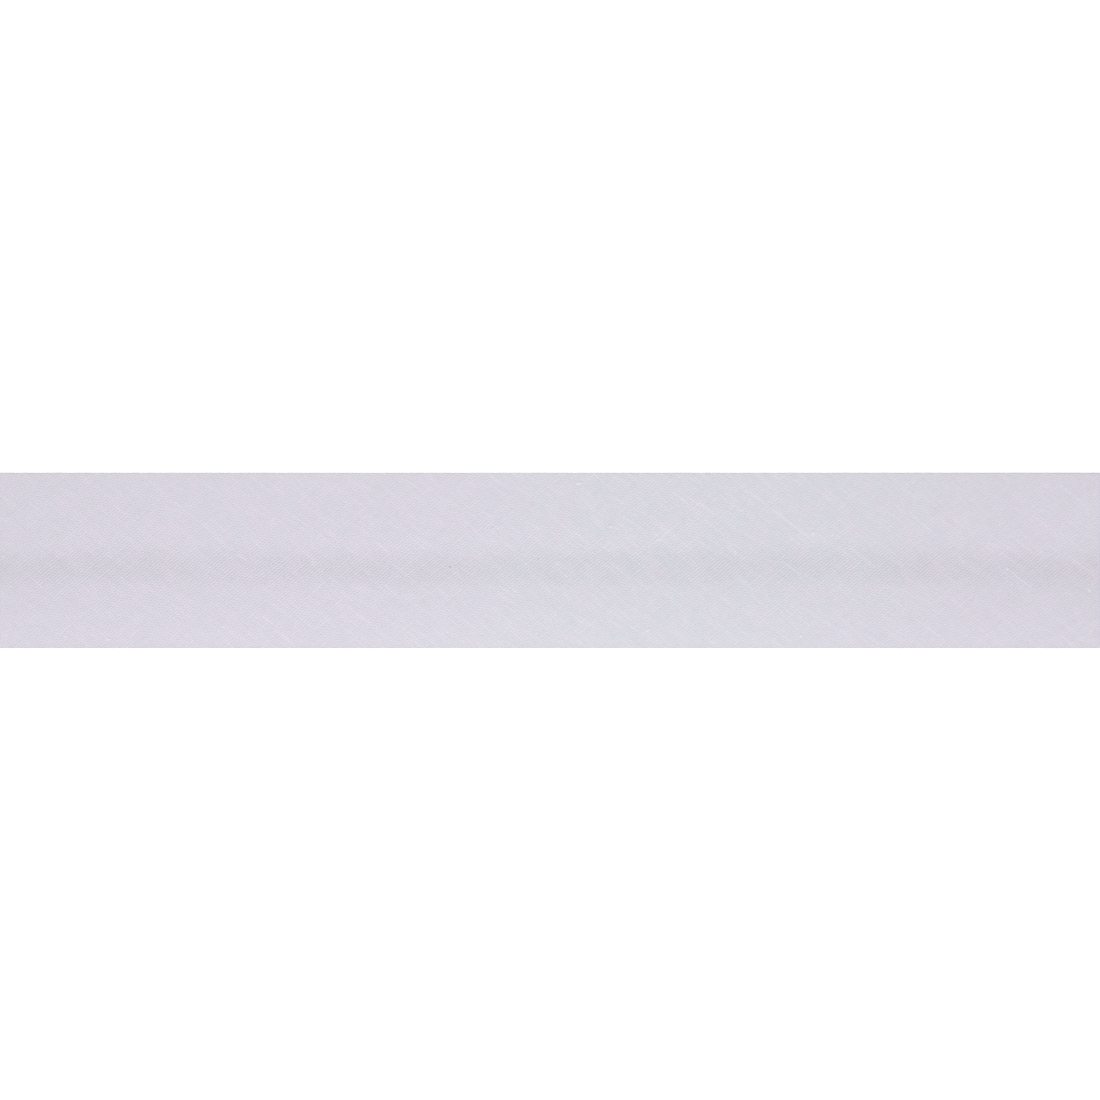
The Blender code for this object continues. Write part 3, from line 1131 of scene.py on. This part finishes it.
lifted_by = add(lump_tree, VECTOR_MATH, {
    0: dented_by,
    1: add(lump_tree, "ShaderNodeCombineXYZ", {2: given["Lift"]}),
}, operation="ADD")
dented = add(lump_tree, "GeometryNodeSetPosition", {"Geometry": real_balls, "Offset": lifted_by})
finished_lumps = add(lump_tree, "GeometryNodeSetMaterial", {"Geometry": dented, "Material": given["Finish"]})
add(lump_tree, "NodeGroupOutput", {0: finished_lumps})
print(f"The lump tree has {len(lump_tree.nodes)} nodes")


# %% Neps and flecks on the flat strip
def lumps(name, in_the_picture, others, seed, finish):
    """Sets out the lumps that the picture shows, and others by chance on the rest of the strip."""
    chains = [[(from_photo(lump.column, lump.row), lump.width * MM)] for lump in in_the_picture]
    for place, draw in scattered(others, seed, margin=0.5 * MM):
        chains.append([(place, draw.uniform(0.16, 0.34) * MM)])
    piece = bare_object(name, chains, {"width": "float"})
    values = {"Lift": CLOTH / 2, "Flatness": 0.25, "Dents": 0.03 * MM, "Seed": seed, "Finish": finish}
    run_tree(piece, lump_tree, values)
    to_plain_mesh(piece)
    return piece


neps = lumps("neps", NEPS, others=14, seed=5, finish=matted_cotton)
flecks = lumps("seed_flecks", FLECKS, others=8, seed=8, finish=seed_coat)
print(f"{len(neps.data.polygons)} faces on the neps, {len(flecks.data.polygons)} on the flecks")

# %% [markdown]
# ## Cut edges
#
# Bias tape isn't hemmed: shears cut it, and the ends of its yarns stand out along every cut, a
# few tenths of a millimetre long and slightly ragged. That is 2100 ends, all by one rule. A path
# follows each of the four cuts. Points are set on it where yarns cross it, so their distance
# depends on the slant. Each point gets a short, bent, tapering stub that leans the way its yarn
# runs, on the side that is outside the cloth.

# %% The four cuts
EDGE_POINTS = 61


def long_cut(side):
    """The points of one raw edge, each with the way out of the cloth."""
    stations = [LENGTH * (i / (EDGE_POINTS - 1) - 0.5) for i in range(EDGE_POINTS)]
    return [(Vector((station, side * raw_edge(side, station))), (0, side, 0)) for station in stations]


def end_cut(side):
    """The two corners of one cut end, each with the way out of the cloth."""
    station = side * LENGTH / 2
    return [(Vector((station, bank * raw_edge(bank, station))), (side, 0, 0)) for bank in (-1, 1)]


cuts = [cut(side) for cut in (long_cut, end_cut) for side in (-1, 1)]
print(f"{len(cuts)} cuts with {sum(len(cut) for cut in cuts)} points")

# %% Where the yarns come out
fray_tree, given = geometry_tree("fray_cuts", {
    "Yarn Way": "Vector",
    "Yarn Spacing": "Float",
    "Yarn Width": "Float",
    "Shortest": "Float",
    "Longest": "Float",
    "Lean": "Float",
    "Bend": "Float",
    "Layer": "Float",
    "Half Cloth": "Float",
    "Seed": "Int",
    "Yarn": "Material",
})
cut_path = add(fray_tree, "GeometryNodeMeshToCurve", {"Mesh": given["Geometry"]})
tangent = add(fray_tree, "GeometryNodeInputTangent")
slant = add(fray_tree, VECTOR_MATH, {0: tangent, 1: given["Yarn Way"]}, operation="CROSS_PRODUCT")
slant_size = add(fray_tree, VECTOR_MATH, {0: slant}, operation="LENGTH")
apart = add(fray_tree, MATH, {0: given["Yarn Spacing"], 1: slant_size.outputs["Value"]}, operation="DIVIDE")
cut_points = add(fray_tree, "GeometryNodeResampleCurve", {"Curve": cut_path, "Length": apart}, mode="LENGTH")
outward = add(fray_tree, "GeometryNodeInputNamedAttribute", {"Name": "outward"}, data_type="FLOAT_VECTOR")
facing = add(fray_tree, VECTOR_MATH, {0: outward, 1: given["Yarn Way"]}, operation="DOT_PRODUCT")
facing_sign = add(fray_tree, MATH, {0: facing.outputs["Value"]}, operation="SIGN")
way_out = add(fray_tree, VECTOR_MATH, {0: given["Yarn Way"], "Scale": facing_sign}, operation="SCALE")
print("Each yarn leaves the cloth on the outer side of the cut")

# %% One bent stub
STUB_SIDES = 5
STUB_RINGS = 3
STUB_TIP = 0.75  # of the width at its foot, because the fibres of a cut end don't close up

stub = add(fray_tree, "GeometryNodeMeshCone", {
    "Vertices": STUB_SIDES,
    "Side Segments": STUB_RINGS,
    "Radius Top": STUB_TIP,
    "Radius Bottom": 1.0,
    "Depth": 1.0,
}, fill_type="TRIANGLE_FAN")
stub_place = add(fray_tree, "ShaderNodeSeparateXYZ", {0: add(fray_tree, "GeometryNodeInputPosition")})
stub_bow = add(fray_tree, MATH, {0: stub_place.outputs[2], 1: 2.0}, operation="POWER")
bow_size = add(fray_tree, MATH, {0: stub_bow, 1: given["Bend"]}, operation="MULTIPLY")
bow = add(fray_tree, "ShaderNodeCombineXYZ", {0: bow_size})
bent_stub = add(fray_tree, "GeometryNodeSetPosition", {"Geometry": stub, "Offset": bow})
print(f"A stub is a cone with {STUB_SIDES} sides, bent along its length")

# %% A stub on every yarn
half_yarn = add(fray_tree, MATH, {0: given["Yarn Width"], 1: 0.5}, operation="MULTIPLY")
stub_length = add(fray_tree, "FunctionNodeRandomValue", {
    "Min": given["Shortest"],
    "Max": given["Longest"],
    "Seed": given["Seed"],
}, data_type="FLOAT")
lean_most = add(fray_tree, "ShaderNodeCombineXYZ", {0: given["Lean"], 1: given["Lean"]})
lean_least = add(fray_tree, VECTOR_MATH, {0: lean_most, "Scale": -1.0}, operation="SCALE")
lean = add(fray_tree, "FunctionNodeRandomValue", {
    "Min": lean_least,
    "Max": lean_most,
    "Seed": given["Seed"],
}, data_type="FLOAT_VECTOR")
stub_way = add(fray_tree, VECTOR_MATH, {0: way_out, 1: lean}, operation="ADD")
aligned = add(fray_tree, "FunctionNodeAlignRotationToVector", {"Vector": stub_way}, axis="Z")
spin_angle = add(fray_tree, "FunctionNodeRandomValue", {
    "Min": 0.0,
    "Max": math.tau,
    "Seed": given["Seed"],
}, data_type="FLOAT")
spin = add(fray_tree, "FunctionNodeAxisAngleToRotation", {"Axis": (0, 0, 1), "Angle": spin_angle})
turned = add(fray_tree, "FunctionNodeRotateRotation", {0: aligned, 1: spin}, rotation_space="LOCAL")
stub_scale = add(fray_tree, "ShaderNodeCombineXYZ", {0: half_yarn, 1: half_yarn, 2: stub_length})
stubs = add(fray_tree, "GeometryNodeInstanceOnPoints", {
    "Points": cut_points,
    "Instance": bent_stub,
    "Rotation": turned,
    "Scale": stub_scale,
})
real_stubs = add(fray_tree, "GeometryNodeRealizeInstances", {"Geometry": stubs})
print("Length, lean and turn are drawn by chance from a fixed seed")

# %% The stubs stay as thin as the cloth
fray_place = add(fray_tree, "ShaderNodeSeparateXYZ", {0: add(fray_tree, "GeometryNodeInputPosition")})
layered = add(fray_tree, MATH, {0: fray_place.outputs[2], 1: given["Layer"]}, operation="ADD")
lowest = add(fray_tree, MATH, {0: given["Half Cloth"], 1: -1.0}, operation="MULTIPLY")
not_under = add(fray_tree, MATH, {0: layered, 1: lowest}, operation="MAXIMUM")
within = add(fray_tree, MATH, {0: not_under, 1: given["Half Cloth"]}, operation="MINIMUM")
fray_end = add(fray_tree, "ShaderNodeCombineXYZ", {
    0: fray_place.outputs[0],
    1: fray_place.outputs[1],
    2: within,
})
pressed = add(fray_tree, "GeometryNodeSetPosition", {"Geometry": real_stubs, "Position": fray_end})
finished_stubs = add(fray_tree, "GeometryNodeSetMaterial", {"Geometry": pressed, "Material": given["Yarn"]})
add(fray_tree, "NodeGroupOutput", {0: finished_stubs})
print(f"The fray tree has {len(fray_tree.nodes)} nodes")


# %% Both sets of yarns along all four cuts
def frayed(name, angle, spacing, width, layer, seed):
    """The loose ends of one set of yarns, along the four cuts of the flat strip."""
    piece = bare_object(name, cuts, {"outward": "float_vector"})
    run_tree(piece, fray_tree, {
        "Yarn Way": (math.cos(angle), math.sin(angle), 0.0),
        "Yarn Spacing": spacing * MM,
        "Yarn Width": width * MM,
        "Shortest": 0.08 * MM,
        "Longest": 0.34 * MM,
        "Lean": 0.16,
        "Bend": 0.8,
        "Layer": layer * MM,
        "Half Cloth": CLOTH / 2,
        "Seed": seed,
        "Yarn": spun_cotton,
    })
    to_plain_mesh(piece)
    return piece


rib_ends = frayed("frayed_ribs", RIB_ANGLE, RIB_SPACING, width=0.2, layer=-0.02, seed=3)
fine_ends = frayed("frayed_fine_yarns", FINE_ANGLE, FINE_SPACING, width=0.13, layer=0.03, seed=4)
print(f"The ends have {len(rib_ends.data.polygons) + len(fine_ends.data.polygons)} faces")

# %% [markdown]
# ## Folding, and the end
#
# Everything lies flat and finished on the strip now. The fold tree turns each piece in the same
# way, so the slubs run round the folds with the cloth they are spun into.

# %% Fold the tape and all that is on it
tape.data.materials.clear()
tape.data.materials.append(poplin)
on_the_tape = (slubs, neps, flecks, rib_ends, fine_ends)
for piece in (tape, *on_the_tape):
    fold_under(piece)
    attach(piece, "root")
    print(f"{piece.name}: {len(piece.data.polygons)} faces")
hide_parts("bias_tape")
